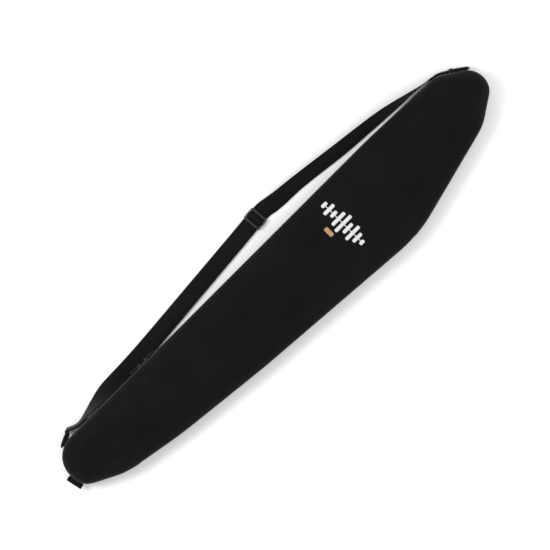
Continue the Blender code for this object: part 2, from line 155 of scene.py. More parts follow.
def length_property(name, default, description):
    return FloatProperty(name=name, default=default, description=description, unit="LENGTH", precision=4)


def colour_property(name, default, description):
    return FloatVectorProperty(
        name=name, default=linear(default), description=description, subtype="COLOR", size=3, min=0, max=1
    )


class BagSizes(bpy.types.PropertyGroup):
    """Sizes of the fabric pieces, the webbing and the hardware."""

    wall: length_property("Panel wall", 0.0010, "Thickness of the outer nylon with its backing")
    crown: length_property("Crown", 0.0022, "How far the padding lifts the middle of a panel")
    pucker: length_property("Pucker", 0.0010, "Depth of the puckers along the seam")
    padding: length_property("Padding", 0.0050, "Thickness of the foam")
    lining: length_property("Lining", 0.0008, "Thickness of the lining")
    layer_gap: length_property("Layer gap", 0.0008, "Space between the layers of a half")
    webbing_width: length_property("Webbing width", 0.030, "Width of the shoulder strap")
    webbing_thickness: length_property("Webbing thickness", 0.0016, "Thickness of the shoulder strap")
    tab_width: length_property("Tab width", 0.025, "Width of the webbing that holds a ring")
    wire: length_property("Ring wire", 0.0017, "Radius of a ring's wire")
    ring_half: length_property("Ring half width", 0.0150, "Half of a ring's width, to the wire's middle")
    ring_depth: length_property("Ring depth", 0.0154, "A ring's depth, to the wire's middle")
    zip_pitch: length_property("Zip pitch", 0.0022, "Spacing of the zip's elements")
    stitch_pitch: length_property("Stitch pitch", 0.0042, "Spacing of the topstitching")


class BagFinishes(bpy.types.PropertyGroup):
    """Colours of the materials."""

    nylon: colour_property("Nylon", "#0D0D0F", "Outer fabric")
    webbing: colour_property("Webbing", "#111113", "Strap, tabs and loop")
    tape: colour_property("Tape", "#0E0E10", "Zip tape and binding")
    lining: colour_property("Lining", "#1C1C1F", "Lining cloth")
    foam: colour_property("Foam", "#2B2B2E", "Padding")
    coil: colour_property("Coil", "#111113", "Zip elements")
    lacquer: colour_property("Lacquer", "#1B1B1D", "Rings, sliders and pulls")
    plastic: colour_property("Plastic", "#161618", "Strap adjuster")
    thread: colour_property("Thread", "#19191C", "Topstitching")
    white_ink: colour_property("White ink", "#D2D2CF", "Printed mark")
    tan_ink: colour_property("Tan ink", "#A98259", "Printed block")


def sizes():
    return bpy.context.scene.bag_sizes


def finishes():
    return bpy.context.scene.bag_finishes


# Materials --------------------------------------------------------------------------------


def set_inputs(tree, node, inputs):
    """Gives each input a value, or links it to a node or to one of a node's outputs."""
    for key, value in inputs.items():
        if isinstance(value, bpy.types.Node):
            value = value.outputs[0]
        if isinstance(value, bpy.types.NodeSocket):
            tree.links.new(value, node.inputs[key])
        else:
            node.inputs[key].default_value = value


def add_node(tree, kind, inputs=None, **settings):
    """Adds a node with its settings and its inputs."""
    node = tree.nodes.new(kind)
    for key, value in settings.items():
        setattr(node, key, value)
    set_inputs(tree, node, inputs or {})
    return node


def start_material(name, roughness, metallic=0.0):
    """A material with its surface shader set up."""
    mat = bpy.data.materials.new(name)
    mat.use_nodes = True
    tree = mat.node_tree
    shader = tree.nodes["Principled BSDF"]
    set_inputs(tree, shader, {"Roughness": roughness, "Metallic": metallic, "IOR": 1.5})
    return mat, tree, shader


def shade(colour, factor=1.0):
    """A colour made darker or lighter, with its alpha."""
    return (*(min(1.0, c * factor) for c in colour), 1)


def cloth_coordinates(tree, pitch):
    """Threads counted along and across the cloth: as a vector, and each on its own."""
    cloth = add_node(tree, "ShaderNodeAttribute", attribute_name="cloth").outputs["Vector"]
    inputs = {0: cloth, "Scale": 1 / pitch}
    counted = add_node(tree, "ShaderNodeVectorMath", inputs, operation="SCALE")
    split = add_node(tree, "ShaderNodeSeparateXYZ", {0: counted})
    return counted, split.outputs["X"], split.outputs["Y"]


def thread(tree, count):
    """Rounded height across one thread after another."""
    turned = add_node(tree, "ShaderNodeMath", {0: count, 1: math.pi}, operation="MULTIPLY")
    wave = add_node(tree, "ShaderNodeMath", {0: turned}, operation="SINE")
    return add_node(tree, "ShaderNodeMath", {0: wave}, operation="ABSOLUTE")


def plain_weave(tree, pitch):
    """Height of a plain weave, over and under, with threads a pitch apart."""
    counted, along, across = cloth_coordinates(tree, pitch)
    lifted = add_node(tree, "ShaderNodeVectorMath", {0: counted, 1: (0, 0, 0.5)}, operation="ADD")
    over = add_node(tree, "ShaderNodeTexChecker", {"Vector": lifted, "Scale": 1.0})
    weft = add_node(tree, "ShaderNodeMath", {0: thread(tree, across), 1: 0.8}, operation="MULTIPLY")
    inputs = {0: over.outputs["Fac"], 2: thread(tree, along), 3: weft}
    return add_node(tree, "ShaderNodeMix", inputs, data_type="FLOAT")


def chevron_weave(tree, pitch, band):
    """Height of a herringbone: ribs that turn back at each band across the width."""
    _, along, across = cloth_coordinates(tree, pitch)
    folded = add_node(tree, "ShaderNodeMath", {0: across, 1: band / pitch}, operation="PINGPONG")
    slanted = add_node(tree, "ShaderNodeMath", {0: along, 1: folded}, operation="ADD")
    doubled = add_node(tree, "ShaderNodeMath", {0: across, 1: 2.0}, operation="MULTIPLY")
    grain = add_node(tree, "ShaderNodeMath", {0: thread(tree, doubled), 1: 0.3}, operation="MULTIPLY")
    level = add_node(tree, "ShaderNodeMath", {0: grain, 1: 0.7}, operation="ADD")
    rib = thread(tree, slanted)
    return add_node(tree, "ShaderNodeMath", {0: rib, 1: level}, operation="MULTIPLY")


def ribbed(tree, pitch):
    """Height of a grosgrain: ribs straight across the tape."""
    _, along, _ = cloth_coordinates(tree, pitch)
    return thread(tree, along)


def cloth_material(name, colour, weave, spacing, depth, roughness, sheen, fade=1.5):
    """Woven cloth: thread relief, painted shade between threads and painted light on raised threads,
    faded patches and fine lint.
    """
    mat, tree, shader = start_material(name, roughness)
    height = weave(tree, *spacing)
    place = add_node(tree, "ShaderNodeTexCoord").outputs["Object"]
    patches = add_node(tree, "ShaderNodeTexNoise", {"Vector": place, "Scale": 14.0, "Detail": 4.0})
    fibres = add_node(tree, "ShaderNodeTexNoise", {"Vector": place, "Scale": 900.0, "Detail": 3.0})
    inputs = {"Value": patches, "From Min": 0.35, "From Max": 0.7}
    faded = add_node(tree, "ShaderNodeMapRange", inputs)
    inputs = {"Factor": faded, 6: shade(colour), 7: shade(colour, fade)}
    cloth = add_node(tree, "ShaderNodeMix", inputs, data_type="RGBA")
    # Painted shade and light: the thread height darkens the colour between threads and lightens it on
    # raised threads.
    inputs = {"Value": height, "From Max": 0.9, "To Min": 0.45, "To Max": 1.15}
    relief = add_node(tree, "ShaderNodeMapRange", inputs)
    inputs = {0: cloth.outputs[2], "Scale": relief}
    shadow = add_node(tree, "ShaderNodeVectorMath", inputs, operation="SCALE")
    inputs = {"Value": fibres, "From Min": 0.68, "From Max": 0.74, "To Max": 0.35}
    specks = add_node(tree, "ShaderNodeMapRange", inputs)
    inputs = {"Factor": specks, 6: shadow, 7: shade(colour, 4.0)}
    lint = add_node(tree, "ShaderNodeMix", inputs, data_type="RGBA")
    inputs = {"Value": height, "To Min": min(1.0, roughness + 0.12), "To Max": roughness - 0.06}
    rough = add_node(tree, "ShaderNodeMapRange", inputs)
    fuzz = add_node(tree, "ShaderNodeMath", {0: fibres, 1: 0.35}, operation="MULTIPLY")
    uneven = add_node(tree, "ShaderNodeMath", {0: height, 1: fuzz}, operation="ADD")
    inputs = {"Height": uneven, "Strength": 0.9, "Distance": depth}
    bump = add_node(tree, "ShaderNodeBump", inputs)
    set_inputs(tree, shader, {"Base Color": lint.outputs[2], "Roughness": rough, "Normal": bump})
    shader.inputs["Sheen Weight"].default_value = sheen
    shader.inputs["Sheen Roughness"].default_value = 0.45
    shader.inputs["Specular IOR Level"].default_value = 0.05
    return mat


def oxford_nylon():
    """Coated oxford nylon: a plain weave of thick yarn with a dull sheen on raised threads.
    Its threads are 0.6 mm apart, drawn 1.6 mm apart so that they show."""
    look = {"depth": 0.00035, "roughness": 0.62, "sheen": 0.035}
    return cloth_material("oxford_nylon", finishes().nylon, plain_weave, (0.0016,), **look)


def polypropylene_webbing():
    """Polypropylene webbing: a herringbone of shiny ribs, 2 mm apart, in bands 5 mm wide."""
    look = {"depth": 0.00045, "roughness": 0.50, "sheen": 0.05, "fade": 1.3}
    colour = finishes().webbing
    return cloth_material("polypropylene_webbing", colour, chevron_weave, (0.0021, 0.0050), **look)


def zip_tape_twill():
    """Polyester zip tape: a fine herringbone, dull."""
    look = {"depth": 0.0002, "roughness": 0.72, "sheen": 0.04}
    return cloth_material("zip_tape_twill", finishes().tape, chevron_weave, (0.0012, 0.0024), **look)


def grosgrain_binding():
    """Grosgrain binding: ribs straight across the tape, 1.2 mm apart."""
    look = {"depth": 0.0003, "roughness": 0.66, "sheen": 0.05, "fade": 1.4}
    return cloth_material("grosgrain_binding", finishes().tape, ribbed, (0.0012,), **look)


def taffeta_lining():
    """Taffeta lining: a tight smooth weave, drawn 1.4 mm apart, with more sheen than the outside."""
    look = {"depth": 0.00018, "roughness": 0.48, "sheen": 0.12, "fade": 1.25}
    return cloth_material("taffeta_lining", finishes().lining, plain_weave, (0.0014,), **look)


def sewing_thread():
    """Twisted polyester thread: slightly glossy, lighter than the cloth."""
    mat, tree, shader = start_material("sewing_thread", 0.45)
    place = add_node(tree, "ShaderNodeTexCoord").outputs["Object"]
    twist = add_node(tree, "ShaderNodeTexNoise", {"Vector": place, "Scale": 1600.0, "Detail": 2.0})
    colour = finishes().thread
    inputs = {"Factor": twist, 6: shade(colour, 0.6), 7: shade(colour, 1.5)}
    plied = add_node(tree, "ShaderNodeMix", inputs, data_type="RGBA")
    set_inputs(tree, shader, {"Base Color": plied.outputs[2], "Sheen Weight": 0.15})
    return mat


def closed_cell_foam():
    """Cross-linked polyethylene foam: matt, with fine closed cells about 1 mm across."""
    mat, tree, shader = start_material("closed_cell_foam", 0.85)
    place = add_node(tree, "ShaderNodeTexCoord").outputs["Object"]
    cells = add_node(tree, "ShaderNodeTexVoronoi", {"Vector": place, "Scale": 900.0})
    colour = finishes().foam
    inputs = {"Factor": cells, 6: shade(colour, 1.15), 7: shade(colour, 0.7)}
    foam = add_node(tree, "ShaderNodeMix", inputs, data_type="RGBA")
    bump = add_node(tree, "ShaderNodeBump", {"Height": cells, "Strength": 0.5, "Distance": 0.0003})
    set_inputs(tree, shader, {"Base Color": foam.outputs[2], "Normal": bump})
    return mat


def hard_material(name, colour, roughness, metallic, grain, depth, wear):
    """A moulded or lacquered surface: faint mottle, fine texture and edges rubbed lighter."""
    mat, tree, shader = start_material(name, roughness, metallic)
    place = add_node(tree, "ShaderNodeTexCoord").outputs["Object"]
    mottle = add_node(tree, "ShaderNodeTexNoise", {"Vector": place, "Scale": 60.0, "Detail": 5.0})
    texture = add_node(tree, "ShaderNodeTexNoise", {"Vector": place, "Scale": 1 / grain, "Detail": 3.0})
    edges = add_node(tree, "ShaderNodeNewGeometry").outputs["Pointiness"]
    inputs = {"Value": edges, "From Min": 0.52, "From Max": 0.60, "To Max": wear}
    rubbed = add_node(tree, "ShaderNodeMapRange", inputs)
    inputs = {"Factor": mottle, 6: shade(colour, 0.85), 7: shade(colour, 1.2)}
    base = add_node(tree, "ShaderNodeMix", inputs, data_type="RGBA")
    inputs = {"Factor": rubbed, 6: base.outputs[2], 7: shade(colour, 5.0)}
    worn = add_node(tree, "ShaderNodeMix", inputs, data_type="RGBA")
    inputs = {"Value": mottle, "From Min": 0.3, "From Max": 0.7}
    inputs |= {"To Min": roughness - 0.06, "To Max": roughness + 0.08}
    rough = add_node(tree, "ShaderNodeMapRange", inputs)
    inputs = {"Height": texture, "Strength": 0.4, "Distance": depth}
    bump = add_node(tree, "ShaderNodeBump", inputs)
    set_inputs(tree, shader, {"Base Color": worn.outputs[2], "Roughness": rough, "Normal": bump})
    return mat


def lacquered_zinc():
    """Black lacquer on die-cast zinc: smooth, rubbed along its edges."""
    look = {"roughness": 0.34, "metallic": 0.6, "grain": 0.0012, "depth": 0.00004, "wear": 0.5}
    return hard_material("lacquered_zinc", finishes().lacquer, **look)


def lacquered_wire():
    """Black lacquer on bent steel wire: glossy, with slight orange peel."""
    look = {"roughness": 0.28, "metallic": 0.6, "grain": 0.0020, "depth": 0.00005, "wear": 0.3}
    return hard_material("lacquered_wire", finishes().lacquer, **look)


def nylon_coil():
    """Extruded nylon monofilament: dense black with a soft shine."""
    look = {"roughness": 0.36, "metallic": 0.0, "grain": 0.0010, "depth": 0.00002, "wear": 0.3}
    return hard_material("nylon_coil", finishes().coil, **look)


def moulded_acetal():
    """Moulded acetal: fine spark-eroded texture, waxy, lighter where it is handled."""
    look = {"roughness": 0.5, "metallic": 0.0, "grain": 0.0007, "depth": 0.00006, "wear": 0.15}
    return hard_material("moulded_acetal", finishes().plastic, **look)


def screen_ink(name, colour):
    """Screen-printed ink on cloth: matt, with the weave showing through and small pinholes."""
    mat, tree, shader = start_material(name, 0.55)
    height = plain_weave(tree, 0.0016)
    place = add_node(tree, "ShaderNodeTexCoord").outputs["Object"]
    spots = add_node(tree, "ShaderNodeTexNoise", {"Vector": place, "Scale": 420.0, "Detail": 3.0})
    inputs = {"Value": spots, "From Min": 0.62, "From Max": 0.72, "To Max": 0.45}
    pinholes = add_node(tree, "ShaderNodeMapRange", inputs)
    raised = add_node(tree, "ShaderNodeMapRange", {"Value": height, "From Max": 0.6})
    inputs = {"Factor": raised, 6: shade(colour, 0.72), 7: shade(colour)}
    tint = add_node(tree, "ShaderNodeMix", inputs, data_type="RGBA")
    inputs = {"Factor": pinholes, 6: tint.outputs[2], 7: shade(colour, 0.55)}
    ink = add_node(tree, "ShaderNodeMix", inputs, data_type="RGBA")
    bump = add_node(tree, "ShaderNodeBump", {"Height": height, "Strength": 0.6, "Distance": 0.0002})
    set_inputs(tree, shader, {"Base Color": ink.outputs[2], "Normal": bump})
    return mat


def material(make, *words):
    """The material that a function makes, made only once."""
    name = words[0] if words else make.__name__
    return bpy.data.materials.get(name) or make(*words)


# Outline of the bag -----------------------------------------------------------------------


def rounded_outline():
    """Closely spaced points and outward normals of the outline, counter-clockwise from above."""
    corners = []
    for along, below, radius in CORNERS:
        x = SHELL_HIGH.x if along is None else SHELL_LOW.x + along
        corners.append((Vector((x, SHELL_HIGH.y - below)), radius))
    stations = []
    for i, (corner, radius) in enumerate(corners):
        back = (corners[i - 1][0] - corner).normalized()
        ahead = (corners[(i + 1) % len(corners)][0] - corner).normalized()
        half = back.angle(ahead) / 2
        centre = corner + (back + ahead).normalized() * (radius / math.sin(half))
        arm = corner + back * (radius / math.tan(half)) - centre
        turn = math.pi - 2 * half
        steps = max(3, round(math.degrees(turn) / 2))
        for k in range(steps + 1):
            spoke = Matrix.Rotation(turn * k / steps, 2) @ arm
            stations.append((centre + spoke, spoke.normalized()))
    return stations


def walk(path, pitch, closed=False):
    """Evenly spaced points and normals along a path."""
    points = path + path[:1] if closed else path
    spans = [(b[0] - a[0]).length for a, b in zip(points, points[1:])]
    total = sum(spans)
    count = max(2, round(total / pitch))
    result = []
    span, passed = 0, 0.0
    for k in range(count if closed else count + 1):
        distance = total * k / count
        while span < len(spans) - 1 and distance > passed + spans[span]:
            passed += spans[span]
            span += 1
        share = min(1.0, (distance - passed) / spans[span]) if spans[span] else 0
        point = points[span][0].lerp(points[span + 1][0], share)
        normal = points[span][1].lerp(points[span + 1][1], share).normalized()
        result.append((point, normal))
    return result


OUTLINE = walk(rounded_outline(), OUTLINE_PITCH, closed=True)


def sides():
    """The outline beside the fabric hinge, and beside the zip, both counter-clockwise."""
    low, high = cad_box("hinge_strip")
    beside = [i for i, (point, normal) in enumerate(OUTLINE) if normal.y < 0 and low.x < point.x < high.x]
    first, last = beside[0], beside[-1]
    count = len(OUTLINE)
    around = [OUTLINE[k % count] for k in range(last + 1, first + count)]
    return OUTLINE[first : last + 1], around


def edge_heights(inset):
    """The lower and upper edges as rows of points from the left nose to the right."""
    points = [point - normal * inset for point, normal in OUTLINE]
    count = len(points)
    left = min(range(count), key=lambda i: points[i].x)
    right = max(range(count), key=lambda i: points[i].x)
    lower = [points[(left + k) % count] for k in range((right - left) % count + 1)]
    upper = [points[(left - k) % count] for k in range((left - right) % count + 1)]
    return lower, upper


def height_at(row, x):
    """The row's y at an x, between its points."""
    low, high = 0, len(row) - 1
    while high - low > 1:
        middle = (low + high) // 2
        if row[middle].x <= x:
            low = middle
        else:
            high = middle
    span = row[high].x - row[low].x
    share = (x - row[low].x) / span if span > 0 else 0
    return row[low].lerp(row[high], min(1, max(0, share))).y


# Mesh helpers -----------------------------------------------------------------------------


def mapped_grid(columns, rows, place, closed_along=False, closed_across=False, capped=False):
    """A grid whose points a function places. It gives each point's position and cloth coordinates."""
    bm = bmesh.new()
    bmesh.ops.create_grid(bm, x_segments=columns, y_segments=rows, size=0.5)
    cloth = bm.verts.layers.float_vector.new("cloth")
    for vert in bm.verts:
        i = round((vert.co.x + 0.5) * columns)
        j = round((vert.co.y + 0.5) * rows)
        vert.co, vert[cloth] = place(i, j)
    if closed_along or closed_across:
        bmesh.ops.remove_doubles(bm, verts=bm.verts, dist=1e-6)
    if capped:
        bmesh.ops.holes_fill(bm, edges=[edge for edge in bm.edges if edge.is_boundary])
    bmesh.ops.recalc_face_normals(bm, faces=bm.faces)
    return bm


def as_mesh(bm, name="shape"):
    """The finished mesh of a bmesh, which is freed."""
    mesh = bpy.data.meshes.new(name)
    bm.to_mesh(mesh)
    bm.free()
    return mesh


def swept(stations, profile, closed_along=False, cloth_start=0.0, cloth_way=1):
    """A profile carried along stations of origin, sideways, upward and width share. The cloth is
    counted from cloth_start, backwards where cloth_way is -1."""
    rows = len(profile)
    lengths = [0.0]
    for a, b in zip(stations, stations[1:]):
        lengths.append(lengths[-1] + (b[0] - a[0]).length)
    count = len(stations)
    if closed_along:
        lengths.append(lengths[-1] + (stations[0][0] - stations[-1][0]).length)

    def place(i, j):
        origin, sideways, upward, share = stations[i % count]
        across, height = profile[j % rows]
        counted = cloth_start + cloth_way * lengths[i]
        return origin + sideways * (across * share) + upward * height, (counted, across, 0)

    columns = count if closed_along else count - 1
    bm = mapped_grid(columns, rows, place, closed_along, True, not closed_along)
    return as_mesh(bm)


def flat_profile(width, thickness, steps=6):
    """Section of webbing: a flat strip with rounded edges."""
    half, edge = width / 2 - thickness / 2, thickness / 2
    top = [(half - 2 * half * k / steps, edge) for k in range(steps + 1)]
    rounding = [math.radians(degrees) for degrees in (45, 90, 135)]
    left = [(-half - edge * math.sin(a), edge * math.cos(a)) for a in rounding]
    bottom = [(-x, -z) for x, z in top]
    right = [(-x, -z) for x, z in left]
    return top + left + bottom + right


def circle(radius, points):
    """Points round a circle."""
    angles = [2 * math.pi * k / points for k in range(points)]
    return [(radius * math.cos(a), radius * math.sin(a)) for a in angles]


def plate(outlines, half_depth, edge, matrix):
    """A flat outline with holes, thickened both ways, its edges rounded."""
    curve = bpy.data.curves.new("plate", "CURVE")
    curve.dimensions = "2D"
    curve.fill_mode = "BOTH"
    curve.extrude = half_depth - edge
    curve.bevel_depth = edge
    curve.offset = -edge
    curve.bevel_resolution = 2
    for points in outlines:
        spline = curve.splines.new("POLY")
        spline.points.add(len(points) - 1)
        spline.use_cyclic_u = True
        for target, (x, y) in zip(spline.points, points):
            target.co = (x, y, 0, 1)
    source = bpy.data.objects.new("plate", curve)
    mesh = bpy.data.meshes.new_from_object(source)
    bpy.data.objects.remove(source)
    bm = bmesh.new()
    bm.from_mesh(mesh)
    bmesh.ops.remove_doubles(bm, verts=bm.verts, dist=1e-6)
    bmesh.ops.transform(bm, matrix=matrix, verts=bm.verts)
    bmesh.ops.recalc_face_normals(bm, faces=bm.faces)
    return as_mesh(bm)


def block(low, high, edge, matrix=Matrix.Identity(4)):
    """A box with rounded edges."""
    low, high = Vector(low), Vector(high)
    bm = bmesh.new()
    bmesh.ops.create_cube(bm, size=1.0)
    bmesh.ops.scale(bm, vec=high - low, verts=bm.verts)
    bmesh.ops.translate(bm, vec=(low + high) / 2, verts=bm.verts)
    bmesh.ops.bevel(
        bm, geom=bm.edges, offset=edge, affect="EDGES", segments=2, profile=0.5, material=-1
    )
    bmesh.ops.transform(bm, matrix=matrix, verts=bm.verts)
    return as_mesh(bm)


def rod(start, end, radius, matrix=Matrix.Identity(4)):
    """A short round rod with rounded ends."""
    start, end = Vector(start), Vector(end)
    bm = bmesh.new()
    depth = (end - start).length
    bmesh.ops.create_cone(bm, segments=16, radius1=radius, radius2=radius, depth=depth, cap_ends=True)
    rims = [edge for edge in bm.edges if abs(edge.verts[0].co.z - edge.verts[1].co.z) < 1e-9]
    bmesh.ops.bevel(
        bm, geom=rims, offset=radius * 0.25, affect="EDGES", segments=2, profile=0.5, material=-1
    )
    turn = UP.rotation_difference(end - start).to_matrix().to_4x4()
    bmesh.ops.transform(bm, matrix=matrix @ Matrix.Translation((start + end) / 2) @ turn, verts=bm.verts)
    return as_mesh(bm)


def rounded_rectangle(half_x, half_y, radius, steps=4):
    """Points round a rectangle with round corners."""
    points = []
    for sx, sy, start in ((1, 1, 0), (-1, 1, 90), (-1, -1, 180), (1, -1, 270)):
        for k in range(steps + 1):
            angle = math.radians(start + 90 * k / steps)
            x = sx * (half_x - radius) + radius * math.cos(angle)
            y = sy * (half_y - radius) + radius * math.sin(angle)
            points.append((x, y))
    return points


def axes(origin, x, y, z):
    """A matrix that takes local X, Y and Z to three directions at an origin."""
    turn = Matrix((x, y, z)).transposed().to_4x4()
    return Matrix.Translation(origin) @ turn


def scatter(template, places):
    """Copies of a small mesh at many places, as one mesh."""
    bm = bmesh.new()
    for place in places:
        template.transform(place)
        bm.from_mesh(template)
        template.transform(place.inverted())
    return as_mesh(bm)


def joined(meshes):
    """Several meshes as one."""
    bm = bmesh.new()
    for mesh in meshes:
        bm.from_mesh(mesh)
        bpy.data.meshes.remove(mesh)
    return as_mesh(bm)


def add_piece(name, mesh, body, finish, nodes=()):
    """A finished piece that stands for CAD nodes. It rides on its body, if it is given one."""
    mesh.name = name
    mesh.materials.clear()
    mesh.materials.append(finish)
    mesh.shade_smooth()
    mesh.set_sharp_from_angle(angle=math.radians(60))
    obj = bpy.data.objects.new(name, mesh)
    bpy.context.scene.collection.objects.link(obj)
    if body:
        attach(obj, body)
    if nodes:
        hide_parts(*nodes)
    return obj


def soften(obj, levels=1):
    """Subdivision, the same in the view and in the render."""
    modifier = obj.modifiers.new("Smooth", "SUBSURF")
    modifier.levels = levels
    modifier.render_levels = levels


def thicken(obj, thickness):
    """Gives a sheet its thickness, inwards from its outer face."""
    modifier = obj.modifiers.new("Thickness", "SOLIDIFY")
    modifier.thickness = thickness
    modifier.offset = -1


def surface_of(obj):
    """A tree of the piece's finished surface, for placing things on it."""
    graph = bpy.context.evaluated_depsgraph_get()
    graph.update()
    return BVHTree.FromObject(obj, graph)


# Panels, padding and lining ---------------------------------------------------------------


def section_height(share):
    """Height of a half's section, from 0 at the rim to 1 on the flat middle."""

    def curve(value):
        return (1 - (1 - value) ** SECTION_POWER) ** (1 / SECTION_POWER)

    return min(1.0, curve(min(1.0, share)) / curve(SECTION_FLAT))


def dished_surface(side, inset, columns, rows, crown=0.0, pucker=0.0):
    """One skin of a half, closed at the noses and open at its rim. side is 1 for the front."""
    lower, upper = edge_heights(inset)
    tree = KDTree(len(OUTLINE))
    for index, (point, normal) in enumerate(OUTLINE):
        rim = point - normal * inset
        tree.insert((rim.x, rim.y, 0), index)
    tree.balance()
    start, end = lower[0].x, lower[-1].x
    rise = HALF_DEPTH - RIM - inset

    def place(i, j):
        x = (start + end) / 2 - (end - start) / 2 * math.cos(math.pi * i / columns)
        share = (math.sin((j / rows - 0.5) * math.pi) + 1) / 2
        low, high = height_at(lower, x), height_at(upper, x)
        y = low + (high - low) * share
        spot, index, _ = tree.find((x, y, 0))
        normal = OUTLINE[index][1]
        depth = max(0.0, (Vector((spot.x, spot.y)) - Vector((x, y))).dot(normal))
        if j in (0, rows):
            depth = 0.0
        middle = min(max(x, start + NOSE_SPAN), end - NOSE_SPAN)
        half_width = (height_at(upper, middle) - height_at(lower, middle)) / 2
        inward = min(1.0, depth / half_width)
        height = rise * section_height(inward)
        drop = rise - height
        run = index * OUTLINE_PITCH
        swell = crown * (1 - (1 - inward) ** 2)
        swell += crown * 0.35 * inward * noise.noise((x / 0.07, y / 0.07, side * 3.0))
        seam = math.exp(-(((depth - 0.011) / 0.009) ** 2)) * (1 - math.exp(-depth / 0.003))
        fold = pucker * seam * (noise.noise((run / 0.011, depth / 0.03, side)) - 0.25)
        fold += pucker * 0.8 * seam * noise.noise((run / 0.030, depth / 0.05, side + 5))
        flat = Vector((x, y)) + normal * (fold * 0.6)
        z = MID_Z + side * (RIM + height + swell + fold * 0.8)
        return Vector((flat.x, flat.y, z)), (x + normal.x * drop, y + normal.y * drop, 0)

    bm = mapped_grid(columns, rows, place, closed_across=True)
    centre = max(bm.faces, key=lambda face: side * face.calc_center_median().z)
    if centre.normal.z * side < 0:
        bmesh.ops.reverse_faces(bm, faces=bm.faces)
    return bm


def billow(obj, side, limit):
    """Lets cloth fill under pressure, held along its seam. The foam stops it from sinking, and a point
    moves a limit at most."""
    mesh = obj.data
    held = [v.index for v in mesh.vertices if abs(v.co.z - MID_Z) < RIM + 0.0010]
    noses = (SHELL_LOW.x + 0.004, SHELL_HIGH.x - 0.004)
    held += [v.index for v in mesh.vertices if not noses[0] < v.co.x < noses[1]]
    obj.vertex_groups.new(name="seam").add(held, 1.0, "REPLACE")
    cloth = obj.modifiers.new("Cloth", "CLOTH")
    rules = cloth.settings
    rules.quality = 6
    rules.mass = 0.25
    rules.tension_stiffness = 18
    rules.compression_stiffness = 12
    rules.shear_stiffness = 8
    rules.bending_stiffness = 0.6
    rules.vertex_group_mass = "seam"
    rules.use_pressure = True
    rules.uniform_pressure_force = 3.0
    rules.shrink_min = -0.010
    rules.effector_weights.gravity = 0
    cloth.collision_settings.use_collision = False
    cloth.point_cache.frame_start = 1
    cloth.point_cache.frame_end = BILLOW_STEPS
    for step in range(1, BILLOW_STEPS + 1):
        bpy.context.scene.frame_set(step)
    graph = bpy.context.evaluated_depsgraph_get()
    filled = obj.evaluated_get(graph).data
    moves = [filled.vertices[v.index].co - v.co for v in mesh.vertices]
    facings = [v.normal.copy() for v in mesh.vertices]
    obj.modifiers.remove(cloth)
    bpy.context.scene.frame_set(1)
    for vert, move, facing in zip(mesh.vertices, moves, facings):
        sunk = min(0.0, move.dot(facing))
        move = move - facing * sunk
        if move.length > limit:
            move = move * (limit / move.length)
        vert.co += move
        if side < 0:
            vert.co.z = max(vert.co.z, 0.0004)


def build_panel(half):
    """The outer nylon of a half: a crowned, puckered panel that the padding fills."""
    side = 1 if half == "front" else -1
    crown = sizes().crown if side > 0 else 0.0
    bm = dished_surface(side, 0.0, 300, 44, crown, sizes().pucker)
    cloth = material(oxford_nylon)
    nodes = (f"{half}_shell",)
    obj = add_piece(f"{half}_panel", as_mesh(bm), f"{half}_half", cloth, nodes)
    billow(obj, side, 0.0035)
    thicken(obj, sizes().wall * 0.8)
    soften(obj)
    return obj


def build_inner_layer(half, layer, inset, thickness, finish):
    """Foam or lining of a half, as a dished sheet of even thickness."""
    side = 1 if half == "front" else -1
    crown = 0.0 if layer == "padding" else -0.0010
    bm = dished_surface(side, inset, 150, 24, crown)
    body = f"{half}_half"
    obj = add_piece(f"{half}_{layer}_sheet", as_mesh(bm), body, finish, (f"{half}_{layer}",))
    thicken(obj, thickness)
    soften(obj)
    return obj


# Seam: binding, zip and hinge -------------------------------------------------------------


def edge_stations(path, side):
    """Stations along the outline, sideways pointing out and upward pointing into the half."""
    rows = []
    for point, normal in path:
        rows.append((Vector((point.x, point.y, MID_Z)), Vector((normal.x, normal.y, 0)), UP * side, 1.0))
    return rows


def folded_profile(points, thickness):
    """A closed section from a folded centre line: down one side and back up the other."""
    half = thickness / 2
    count = len(points)
    there, back = [], []
    for i, point in enumerate(points):
        before = Vector(points[max(0, i - 1)])
        after = Vector(points[min(count - 1, i + 1)])
        along = (after - before).normalized()
        offset = Vector((-along.y, along.x)) * half
        there.append(tuple(Vector(point) + offset))
        back.append(tuple(Vector(point) - offset))
    return there + back[::-1]


def build_binding(half):
    """Tape folded over the raw edge inside a half."""
    side = 1 if half == "front" else -1
    rim = RIM - 0.0006
    centre = [(-0.0036, rim), (-0.0060, rim), (-0.0084, rim), (-0.0092, rim + 0.0008)]
    centre += [(-0.0096, rim + 0.0030), (-0.0100, rim + 0.0060)]
    profile = folded_profile(centre, 0.0005)
    stations = edge_stations(walk(OUTLINE, 0.004, closed=True), side)
    mesh = swept(stations, profile, closed_along=True)
    tape = material(grosgrain_binding)
    nodes = (f"{half}_binding",)
    obj = add_piece(f"{half}_binding_tape", mesh, f"{half}_half", tape, nodes)
    soften(obj)
    return obj


def build_zip_tape(half, around):
    """Zip tape: it stands behind the teeth and turns in under the binding."""
    side = 1 if half == "front" else -1
    centre = [(-0.0010, 0.0007), (-0.0010, 0.0018), (-0.0010, 0.0030), (-0.0014, RIM - 0.0004)]
    centre += [(-0.0024, RIM - 0.0001), (-0.0034, RIM)]
    stations = edge_stations(walk(around, 0.004), side)
    mesh = swept(stations, folded_profile(centre, 0.0004))
    nodes = (f"{half}_zip_tape",)
    obj = add_piece(f"{half}_tape", mesh, f"{half}_half", material(zip_tape_twill), nodes)
    soften(obj)
    return obj


